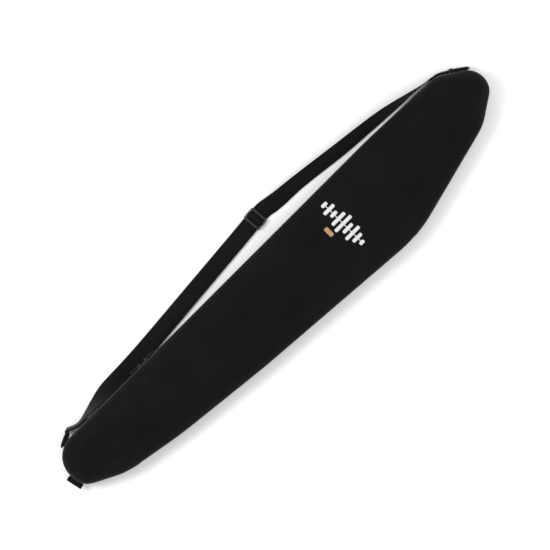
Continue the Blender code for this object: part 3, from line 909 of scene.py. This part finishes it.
def build_teeth(half, around):
    """Coil elements of one chain, half a pitch from the other chain's, and the cord along them."""
    side = 1 if half == "front" else -1
    pitch = sizes().zip_pitch
    stations = walk(around, pitch / 2)[(1 if side > 0 else 0) :: 2]
    bm = bmesh.new()
    bmesh.ops.create_uvsphere(bm, u_segments=8, v_segments=5, radius=1.0)
    bmesh.ops.scale(bm, vec=(pitch * 0.29, 0.0008, 0.00135), verts=bm.verts)
    element = as_mesh(bm)
    places = []
    for point, normal in stations:
        out = Vector((normal.x, normal.y, 0))
        spot = Vector((point.x, point.y, MID_Z + side * 0.0010)) + out * 0.0001
        places.append(axes(spot, out.cross(UP), out, UP))
    teeth = scatter(element, places)
    centre = edge_stations(walk(around, 0.004), side)
    cord = [(o + s * 0.0004 + u * 0.0022, s, u, 1.0) for o, s, u, _ in centre]
    mesh = joined([teeth, swept(cord, circle(0.00035, 6))])
    nodes = (f"{half}_zip_teeth",)
    return add_piece(f"{half}_teeth", mesh, f"{half}_half", material(nylon_coil), nodes)


def build_zip_stop(name, normal, along):
    """A bar of close stitches over the zip's end."""
    out = Vector((normal.x, normal.y, 0))
    away = Vector((along.x, along.y, 0))
    low, high = cad_box(name)
    spot = (low + high) / 2
    bars = []
    for k in range(5):
        middle = spot + away * (0.0006 * (k - 2)) + out * 0.0004
        bars.append(rod(middle - UP * 0.0024, middle + UP * 0.0024, 0.00042))
    corner = Vector((0.0017, 0.0004, 0.0024))
    mesh = joined(bars + [block(-corner, corner, 0.0002, axes(spot, away, out, UP))])
    finish = material(sewing_thread)
    return add_piece(f"{name}_stitches", mesh, "back_half", finish, (name,))


def build_hinge(beside):
    """The fabric strip that joins the halves."""
    centre = [(-0.0009, z) for z in (-RIM - 0.0002, -0.0026, -0.0013, 0.0, 0.0013, 0.0026, RIM + 0.0002)]
    stations = edge_stations(walk(beside, 0.005), 1)
    mesh = swept(stations, folded_profile(centre, 0.0008))
    tape = material(grosgrain_binding)
    obj = add_piece("hinge_fabric", mesh, None, tape, ("hinge_strip",))
    low, high = cad_box("hinge_strip")
    middle = (low + high) / 2
    low = Vector((middle.x, middle.y, MID_Z - RIM))
    high = Vector((middle.x, middle.y, MID_Z + RIM))
    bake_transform(obj)
    return obj


def stitch_template(length, radius):
    """One stitch, a slim ellipsoid along local X."""
    bm = bmesh.new()
    bmesh.ops.create_uvsphere(bm, u_segments=6, v_segments=4, radius=1.0)
    bmesh.ops.rotate(bm, matrix=Matrix.Rotation(math.pi / 2, 3, "Y"), verts=bm.verts)
    bmesh.ops.scale(bm, vec=(length / 2, radius, radius), verts=bm.verts)
    return as_mesh(bm)


def build_topstitching(half, panel):
    """Two rows of stitches round the panel, just inside its seam."""
    side = 1 if half == "front" else -1
    surface = surface_of(panel)
    template = stitch_template(sizes().stitch_pitch * 0.68, 0.00038)
    places = []
    for rise in (0.0022, 0.0062):
        for point, normal in walk(OUTLINE, sizes().stitch_pitch, closed=True):
            out = Vector((normal.x, normal.y, 0))
            start = Vector((point.x, point.y, MID_Z + side * (RIM + rise))) + out * 0.02
            spot, facing, _, _ = surface.ray_cast(start, -out, 0.04)
            if spot is None:
                continue
            along = facing.cross(out.cross(UP)).cross(facing).normalized()
            places.append(axes(spot + facing * 0.0001, along, facing.cross(along), facing))
    mesh = scatter(template, places)
    finish = material(sewing_thread)
    return add_piece(f"{half}_topstitching", mesh, f"{half}_half", finish)


# Zip sliders ------------------------------------------------------------------------------


def build_slider(name, lean):
    """Slider body: a waisted plate with rolled edges, an inner plate, two lugs and a pin."""
    low, high = cad_box(name)
    middle = (low + high) / 2
    face = SHELL_HIGH.y + 0.0012
    pin_y = joint(name.replace("_zip_slider", "_pull_swing"))["pos_m"][1]
    turned = (Vector((lean, 0, 0)), UP, Vector((0, -lean, 0)))
    waist = [(-0.0060, 0.0019), (-0.0030, 0.0030), (0.0025, 0.0032), (0.0060, 0.0024)]
    outline = [(x, -z) for x, z in waist] + [(x, z) for x, z in waist[::-1]]
    depth = 0.0012
    shift = Matrix.Translation((0, 0, -lean * depth / 2))
    outside = axes(Vector((middle.x, face, MID_Z)), *turned) @ shift
    inside = axes(Vector((middle.x, low.y + depth / 2, MID_Z)), *turned)
    parts = [plate([outline], depth / 2, 0.0003, place) for place in (outside, inside)]
    for sign in (-1, 1):
        edge = (middle.x - 0.0035, face - 0.0007, MID_Z + sign * 0.0029 - 0.0003)
        parts.append(block(edge, (middle.x + 0.0040, face + 0.0004, edge[2] + 0.0006), 0.0002))
        lug_low = MID_Z + sign * 0.0022 - 0.0006
        lug = (middle.x - 0.0013, face + 0.0008, lug_low)
        parts.append(block(lug, (middle.x + 0.0013, pin_y + 0.0012, lug_low + 0.0012), 0.0003))
    post = (middle.x - 0.0018, low.y + 0.0006, MID_Z - 0.0003)
    parts.append(block(post, (middle.x + 0.0018, face + 0.0004, MID_Z + 0.0003), 0.0001))
    parts.append(rod((middle.x, pin_y, MID_Z - 0.0026), (middle.x, pin_y, MID_Z + 0.0026), 0.0006))
    body = name.replace("_zip", "")
    return add_piece(f"{name}_body", joined(parts), body, material(lacquered_zinc), (name,))


def build_pull(name, lean):
    """Flat pull with an eye round the pin and a long slot near its end."""
    swing = joint(name.replace("_zip_pull", "_pull_swing"))
    pin = Vector(swing["pos_m"])
    eye = plate([circle(0.0016, 16), circle(0.0010, 16)], 0.0011, 0.0002, Matrix.Translation(pin))
    half = 0.0030
    grip = [(0.0013, -0.0010), (0.0045, -0.0012), (0.0068, -half)]
    grip += [(0.0195, -half), (0.0208, -0.0024), (0.0218, -0.0010)]
    grip += [(x, -z) for x, z in grip[::-1]]
    slot = [(x + 0.0158, z) for x, z in rounded_rectangle(0.0036, 0.0013, 0.0012)]
    place = axes(pin, Vector((lean, 0, 0)), UP, Vector((0, -lean, 0)))
    parts = [eye, plate([grip, slot], 0.0006, 0.00025, place)]
    body = name.replace("_zip", "")
    return add_piece(f"{name}_tab", joined(parts), body, material(lacquered_zinc), (name,))


def joint(name):
    """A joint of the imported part."""
    return next(entry for entry in frame["joints"] if entry["name"] == name)


# Rings, tabs and loop ---------------------------------------------------------------------


def ring_frame(side):
    """A ring's bar centre, the bar's direction, outward direction and hanging direction."""
    swing = joint(f"{side}_ring_swing")
    sideways = Vector(swing["axis"]).normalized()
    outward = UP.cross(sideways)
    droop = math.radians(RINGS[side]["droop"])
    hanging = outward * math.cos(droop) - UP * math.sin(droop)
    return Vector(swing["pos_m"]), sideways, outward, hanging


def build_ring(side):
    """A D ring of bent wire: a straight bar and a rounded bow."""
    centre, sideways, _, hanging = ring_frame(side)
    half, depth, wire = sizes().ring_half, sizes().ring_depth, sizes().wire
    points = []
    bow, bar = 40, 12
    for k in range(bow + 1):
        angle = math.pi * k / bow
        across = half * math.copysign(abs(math.cos(angle)) ** 0.8, math.cos(angle))
        points.append(centre + sideways * across + hanging * (depth * abs(math.sin(angle)) ** 0.8))
    points += [centre + sideways * (half * (2 * k / bar - 1)) for k in range(1, bar)]
    facing = sideways.cross(hanging)
    stations = []
    for k, point in enumerate(points):
        along = (points[(k + 1) % len(points)] - points[k - 1]).normalized()
        stations.append((point, along.cross(facing), facing, 1.0))
    ring = swept(stations, circle(wire, 12), closed_along=True)
    name = f"{side}_d_ring"
    obj = add_piece(f"{name}_wire", ring, f"{side}_ring", material(lacquered_wire), (name,))
    soften(obj)
    return obj


def folded_webbing(edge, outward, reach, hole, width, thickness):
    """Webbing folded round a bar or a finger hole, as one strip with its two ends at the seam."""
    sideways = outward.cross(UP)
    radius = hole + thickness / 2
    path = [Vector((-0.0006, -thickness * 0.52)), Vector((reach * 0.35, -radius * 0.75))]
    for k in range(15):
        angle = math.radians(-125 + 250 * k / 14)
        path.append(Vector((reach + radius * math.cos(angle), radius * math.sin(angle))))
    path += [Vector((reach * 0.35, radius * 0.75)), Vector((-0.0006, thickness * 0.52))]
    stations = []
    for k, point in enumerate(path):
        along = (path[min(k + 1, len(path) - 1)] - path[max(k - 1, 0)]).normalized()
        upward = outward * -along.y + UP * along.x
        stations.append((edge + outward * point.x + UP * point.y, sideways, upward, 1.0))
    return swept(stations, flat_profile(width, thickness))


def build_tab(side):
    """The webbing tab that holds a ring."""
    centre, _, outward, _ = ring_frame(side)
    reach = RINGS[side]["reach"]
    edge = centre - outward * reach
    mesh = folded_webbing(edge, outward, reach, sizes().wire + 0.0004, sizes().tab_width, 0.0013)
    name = f"{side}_ring_tab"
    webbing = material(polypropylene_webbing)
    obj = add_piece(f"{name}_webbing", mesh, "back_half", webbing, (name,))
    soften(obj)
    return obj


def build_end_loop():
    """The short loop of webbing sewn into the left end."""
    low, high = cad_box("end_loop")
    middle = (low + high) / 2
    point, normal = min(OUTLINE, key=lambda row: (row[0] - Vector((low.x, middle.y))).length)
    outward = Vector((normal.x, normal.y, 0))
    edge = Vector((point.x, point.y, middle.z))
    mesh = folded_webbing(edge, outward, 0.0078, 0.0013, 0.029, 0.0013)
    webbing = material(polypropylene_webbing)
    obj = add_piece("end_loop_webbing", mesh, "back_half", webbing, ("end_loop",))
    soften(obj)
    return obj


# Shoulder strap ---------------------------------------------------------------------------


def strap_stations():
    """Middle line of the strap: place, tilt in degrees and width share, closely spaced."""
    lift = STRAP_LIFT + sizes().webbing_thickness / 2

    def laid(x, y, tilt, share):
        rise = sizes().webbing_width / 2 * share * abs(math.sin(math.radians(tilt)))
        return Vector((x, y, lift + rise)), tilt, share

    def at_ring(side):
        centre, sideways, _, hanging = ring_frame(side)
        away = sizes().ring_half + sizes().wire + STRAP_END_CLEAR
        spot = centre + sideways * (RINGS[side]["leaves"] * away) + hanging * (sizes().ring_depth / 2)
        return spot, RINGS[side]["tilt"], STRAP_END_SHARE

    run = [RUN[0].lerp(RUN[1], k / 4) for k in range(5)]
    rows = [at_ring("left")] + [laid(*row) for row in ROUTE_LEFT]
    rows += [laid(spot.x, spot.y, 0, 1.0) for spot in run]
    rows += [laid(*row) for row in ROUTE_RIGHT] + [at_ring("right")]
    return smoothed(rows, 10)


def smoothed(rows, steps):
    """More rows on a smooth curve through the given ones."""

    def between(a, b, c, d, t):
        bend = (2 * a - 5 * b + 4 * c - d) * t**2 + (3 * b - a - 3 * c + d) * t**3
        return 0.5 * (2 * b + (c - a) * t + bend)

    result = []
    last = len(rows) - 1
    for i in range(last):
        around = [rows[max(0, min(last, i + k))] for k in (-1, 0, 1, 2)]
        for k in range(steps):
            fields = [between(*(row[field] for row in around), k / steps) for field in range(3)]
            result.append(tuple(fields))
    return result + [rows[-1]]


def ribbon_stations(rows, offset=0.0):
    """Stations for a flat ribbon. The inner edge rises as the tilt grows."""
    stations = []
    for k, (spot, tilt, share) in enumerate(rows):
        along = (rows[min(k + 1, len(rows) - 1)][0] - rows[max(k - 1, 0)][0]).normalized()
        side = UP.cross(along).normalized()
        over = along.cross(side)
        angle = math.radians(tilt)
        sideways = side * math.cos(angle) - over * math.sin(angle)
        upward = over * math.cos(angle) + side * math.sin(angle)
        stations.append((spot + upward * offset, sideways, upward, share))
    return stations


def cut_index(rows, x):
    """The row nearest to an x."""
    return min(range(len(rows)), key=lambda i: abs(rows[i][0].x - x))


def path_length(path):
    """Length of the line through a path's points."""
    return sum((b - a).length for a, b in zip(path, path[1:]))


def ribbon(stations, thickness, **cloth):
    """Strap webbing along stations, its cut ends square."""
    return swept(stations, flat_profile(sizes().webbing_width, thickness), **cloth)


def build_strap(rows):
    """The strap's long middle piece, and the layer above it that returns to the adjuster."""
    thickness = sizes().webbing_thickness
    first, last = (cut_index(rows, x) for x in STRAP_CUTS)
    middle = rows[first : last + 1]
    webbing = material(polypropylene_webbing)
    mesh = ribbon(ribbon_stations(rows)[first : last + 1], thickness)
    main = add_piece("strap_main", mesh, "back_half", webbing, ("strap_webbing",))

    low, high = cad_box("strap_adjuster")
    adjuster = (low + high) / 2
    upper = [row for row in rows if RETURN_FROM_X <= row[0].x <= adjuster.x - 0.0060]
    mesh = ribbon(ribbon_stations(upper, thickness + 0.0003), thickness * 0.9)
    back = add_piece("strap_return_layer", mesh, None, webbing, ("strap_return",))
    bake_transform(back)
    return main, back, middle


def build_strap_end(side, rows):
    """The strap's end: it runs to the ring, wraps the wire and is sewn back on itself."""
    thickness = sizes().webbing_thickness
    centre, sideways, _, hanging = ring_frame(side)
    leaves = RINGS[side]["leaves"]
    stations = [(o, s * leaves, u * leaves, share) for o, s, u, share in ribbon_stations(rows)]
    first_cut, last_cut = (cut_index(rows, x) for x in STRAP_CUTS)
    part = stations[: first_cut + 1][::-1] if side == "left" else stations[last_cut:]
    leg = centre + sideways * (leaves * sizes().ring_half) + hanging * (sizes().ring_depth / 2)
    wrap = sizes().wire + 0.0003 + thickness / 2
    last = part[-3]
    across, upward = last[1], last[2]
    toward = (leg - last[0]).normalized()
    turned = across.cross(toward) if across.cross(toward).dot(upward) > 0 else toward.cross(across)
    loop = []
    for k in range(15):
        angle = math.radians(100 - 200 * k / 14)
        spoke = turned * math.sin(angle) + toward * math.cos(angle)
        loop.append((leg + spoke * wrap, across, spoke, STRAP_END_SHARE))
    under = [(spot - up * (thickness + 0.0002), side_on, -up, share) for spot, side_on, up, share in part]
    back = [row for row in under if (row[0] - leg).length < 0.042][::-1][2:]
    main_length = path_length([row[0] for row in rows[first_cut : last_cut + 1]])
    start = 0.0 if side == "left" else main_length
    mesh = ribbon(part[:-2] + loop + back, thickness, cloth_start=start, cloth_way=-leaves)
    name = f"strap_{side}_end"
    obj = add_piece(name, mesh, None, material(polypropylene_webbing))
    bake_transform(obj)
    return obj


def build_adjuster():
    """The moulded adjuster, three bars in a frame, and the webbing folded over its middle bar."""
    low, high = cad_box("strap_adjuster")
    travel = Vector(joint("adjuster_travel")["axis"])
    along = -travel.normalized()
    across = UP.cross(along)
    place = axes((low + high) / 2, along, across, UP)
    half = (high.z - low.z) / 2
    outlines = [rounded_rectangle(0.012, 0.017, 0.0030)]
    for sign in (-1, 1):
        slot = rounded_rectangle(0.00275, 0.0155, 0.0010)
        outlines.append([(x + sign * 0.00525, y) for x, y in slot])
    parts = [plate(outlines, half, 0.0006, place)]
    for sign in (-1, 1):
        for row in range(3):
            x = sign * (0.0092 + 0.0011 * row)
            low_corner = (x - 0.0003, -0.0135, half - 0.0002)
            parts.append(block(low_corner, (x + 0.0003, 0.0135, half + 0.0004), 0.0002, place))
    name = "strap_adjuster"
    plastic = material(moulded_acetal)
    body = add_piece(f"{name}_frame", joined(parts), "adjuster", plastic, (name,))

    path = [(-0.0062, -half - 0.0004), (-0.0052, -half + 0.0008), (-0.0042, half - 0.0002)]
    path += [(-0.0028, half + 0.0012), (0.0, half + 0.0017), (0.0028, half + 0.0012)]
    path += [(0.0042, half - 0.0002), (0.0052, -half + 0.0008), (0.0062, -half - 0.0004)]
    stations = []
    for k, (x, z) in enumerate(path):
        before, after = path[max(0, k - 1)], path[min(len(path) - 1, k + 1)]
        slope = Vector((after[0] - before[0], after[1] - before[1])).normalized()
        spot = place @ Vector((x, 0, z))
        stations.append((spot, across, along * -slope.y + UP * slope.x, 1.0))
    mesh = swept(stations, flat_profile(sizes().webbing_width - 0.0006, 0.0014))
    name = "adjuster_webbing_loop"
    webbing = material(polypropylene_webbing)
    loop = add_piece(f"{name}_fold", mesh, "adjuster", webbing, (name,))
    soften(loop)
    return body, loop


# Printed mark -----------------------------------------------------------------------------


def printed_bar(centre, half_x, half_y, corner):
    """A rounded bar as a fine flat grid."""
    step = 0.0008
    columns, rows = (max(4, round(half / step)) for half in (half_x, half_y))

    def place(i, j):
        x = half_x * (2 * i / columns - 1)
        y = half_y * (2 * j / rows - 1)
        hub = Vector((math.copysign(half_x - corner, x), math.copysign(half_y - corner, y)))
        arm = Vector((x, y)) - hub
        outside = abs(x) > half_x - corner and abs(y) > half_y - corner
        if outside and arm.length > corner:
            x, y = hub + arm * (corner / arm.length)
        spot = Vector((centre[0] + x, centre[1] + y, 0))
        return spot, spot

    return as_mesh(mapped_grid(columns, rows, place))


def lay_on_panel(mesh, surface, lift):
    """Drops a flat print onto the panel, a little above its surface."""
    for vert in mesh.vertices:
        start = Vector((vert.co.x, vert.co.y, SHELL_HIGH.z + 0.05))
        spot = surface.ray_cast(start, -UP, 0.1)[0]
        vert.co.z = (spot.z if spot else SHELL_HIGH.z) + lift


def build_print(panel):
    """White level bars on a base line, and a small tan block beside them."""
    surface = surface_of(panel)
    low, high = cad_box("printed_mark")
    middle = (low + high) / 2
    levels = (0.26, 0.53, 0.84, 0.58, 1.0, 0.79, 0.37, 0.63, 0.32)
    pitch = (high.y - low.y) / (len(levels) - 0.45)
    line = printed_bar((middle.x, middle.y), 0.0007, (high.y - low.y) / 2, 0.0005)
    lay_on_panel(line, surface, PRINT_LIFT + 0.00008)
    bars = []
    for i, level in enumerate(levels):
        y = middle.y + (i - (len(levels) - 1) / 2) * pitch
        bars.append(printed_bar((middle.x, y), level * (high.x - low.x) / 2, pitch * 0.28, 0.0022))
    bars = joined(bars)
    lay_on_panel(bars, surface, PRINT_LIFT)
    mark = joined([line, bars])
    ink = material(screen_ink, "white_screen_ink", finishes().white_ink)
    obj = add_piece("mark_print", mark, "front_half", ink, ("printed_mark",))
    thicken(obj, PRINT_THICKNESS)
    low, high = cad_box("printed_accent")
    middle, half = (low + high) / 2, (high - low) / 2
    block_print = printed_bar((middle.x, middle.y), half.x, half.y, 0.0018)
    lay_on_panel(block_print, surface, PRINT_LIFT)
    ink = material(screen_ink, "tan_screen_ink", finishes().tan_ink)
    accent = add_piece("accent_print", block_print, "front_half", ink, ("printed_accent",))
    thicken(accent, PRINT_THICKNESS)


# Stage ------------------------------------------------------------------------------------


def area_light(name, location, size, power, target):
    """A round soft light, aimed at a point."""
    data = bpy.data.lights.new(name, "AREA")
    data.shape = "DISK"
    data.size = size
    data.energy = power
    light = bpy.data.objects.new(name, data)
    light.location = location
    light.rotation_euler = (target - light.location).to_track_quat("-Z", "Y").to_euler()
    bpy.context.scene.collection.objects.link(light)


def build_stage():
    """Pale floor, soft light, and the camera straight above with the bag running up to the right."""
    middle = Vector((0.003, 0.029, MID_Z))
    bm = bmesh.new()
    bmesh.ops.create_grid(bm, x_segments=2, y_segments=2, size=6.0)
    floor = bpy.data.objects.new("floor", as_mesh(bm, "floor"))
    floor.location.z = -0.0003
    bpy.context.scene.collection.objects.link(floor)
    paper, _, shader = start_material("studio_paper", 0.9)
    shader.inputs["Base Color"].default_value = shade(linear("#F4F4F3"))
    floor.data.materials.append(paper)

    world = bpy.data.worlds.new("studio")
    world.use_nodes = True
    sky = world.node_tree.nodes["Background"]
    set_inputs(world.node_tree, sky, {"Color": (1, 1, 1, 1), "Strength": 0.9})
    bpy.context.scene.world = world
    area_light("key", (-0.9, 1.2, 1.8), 1.0, 26.0, middle)
    area_light("fill", (1.3, -0.9, 1.6), 1.6, 12.0, middle)

    data = bpy.data.cameras.new("camera")
    data.lens = 135
    data.sensor_width = 36
    view_width = 0.935
    camera = bpy.data.objects.new("camera", data)
    camera.location = middle + UP * (view_width * data.lens / data.sensor_width)
    camera.rotation_euler = (0, 0, -math.pi / 4)
    bpy.context.scene.collection.objects.link(camera)
    bpy.context.scene.camera = camera
    bpy.context.scene.view_settings.view_transform = "Standard"


# Operators --------------------------------------------------------------------------------


class StageOperator(bpy.types.Operator):
    """Adds the floor, the light and the camera"""

    bl_idname = "bag.stage"
    bl_label = "Stage"

    def execute(self, context):
        build_stage()
        return {"FINISHED"}


class PanelsOperator(bpy.types.Operator):
    """Makes the two outer panels, their topstitching and the printed mark"""

    bl_idname = "bag.panels"
    bl_label = "Panels and print"

    def execute(self, context):
        panels = {half: build_panel(half) for half in ("back", "front")}
        for half, panel in panels.items():
            build_topstitching(half, panel)
        build_print(panels["front"])
        return {"FINISHED"}


class LiningOperator(bpy.types.Operator):
    """Makes the padding, the lining and the binding of both halves"""

    bl_idname = "bag.lining"
    bl_label = "Padding and lining"

    def execute(self, context):
        foam_in = sizes().wall + sizes().layer_gap
        lining_in = foam_in + sizes().padding + sizes().layer_gap
        for half in ("back", "front"):
            foam = material(closed_cell_foam)
            pad = build_inner_layer(half, "padding", foam_in, sizes().padding, foam)
            taffeta = material(taffeta_lining)
            build_inner_layer(half, "lining", lining_in, sizes().lining, taffeta)
            build_binding(half)
        return {"FINISHED"}


class ZipOperator(bpy.types.Operator):
    """Makes the zip's tapes, elements, end stops and the fabric hinge"""

    bl_idname = "bag.zip"
    bl_label = "Zip and hinge"

    def execute(self, context):
        beside, around = sides()
        for half in ("back", "front"):
            build_zip_tape(half, around)
            build_teeth(half, around)
        for name, row, neighbour in (("right_zip_stop", 0, 1), ("left_zip_stop", -1, -2)):
            point, normal = around[row]
            build_zip_stop(name, normal, (point - around[neighbour][0]).normalized())
        build_hinge(beside)
        return {"FINISHED"}


class SlidersOperator(bpy.types.Operator):
    """Makes the two zip sliders and their pulls"""

    bl_idname = "bag.sliders"
    bl_label = "Zip sliders"

    def execute(self, context):
        for side, lean in (("left", -1), ("right", 1)):
            build_slider(f"{side}_zip_slider", lean)
            build_pull(f"{side}_zip_pull", lean)
        return {"FINISHED"}


class RingsOperator(bpy.types.Operator):
    """Makes the D rings, their tabs and the end loop"""

    bl_idname = "bag.rings"
    bl_label = "Rings and tabs"

    def execute(self, context):
        for side in RINGS:
            build_ring(side)
            build_tab(side)
        build_end_loop()
        return {"FINISHED"}


class StrapOperator(bpy.types.Operator):
    """Makes the shoulder strap, its ends and the adjuster"""

    bl_idname = "bag.strap"
    bl_label = "Shoulder strap"

    def execute(self, context):
        rows = strap_stations()
        main, back, middle = build_strap(rows)
        ends = [build_strap_end(side, rows) for side in RINGS]
        frame_piece, loop = build_adjuster()
        return {"FINISHED"}


class BagPanel(bpy.types.Panel):
    """Lists the bag's operators in the sidebar"""

    bl_idname = "VIEW3D_PT_bag"
    bl_label = "Boom Pole Bag"
    bl_space_type = "VIEW_3D"
    bl_region_type = "UI"
    bl_category = "Bag"

    def draw(self, context):
        for operator in OPERATORS:
            self.layout.operator(operator.bl_idname)


OPERATORS = (
    StageOperator,
    StrapOperator,
    PanelsOperator,
    LiningOperator,
    ZipOperator,
    SlidersOperator,
    RingsOperator,
)
CLASSES = (BagSizes, BagFinishes, *OPERATORS, BagPanel)


def register():
    for cls in CLASSES:
        bpy.utils.register_class(cls)
    bpy.types.Scene.bag_sizes = PointerProperty(type=BagSizes)
    bpy.types.Scene.bag_finishes = PointerProperty(type=BagFinishes)


def unregister():
    del bpy.types.Scene.bag_finishes
    del bpy.types.Scene.bag_sizes
    for cls in reversed(CLASSES):
        bpy.utils.unregister_class(cls)


def main():
    register()
    for operator in OPERATORS:
        group, name = operator.bl_idname.split(".")
        getattr(getattr(bpy.ops, group), name)()
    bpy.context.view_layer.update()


if __name__ == "__main__":
    main()
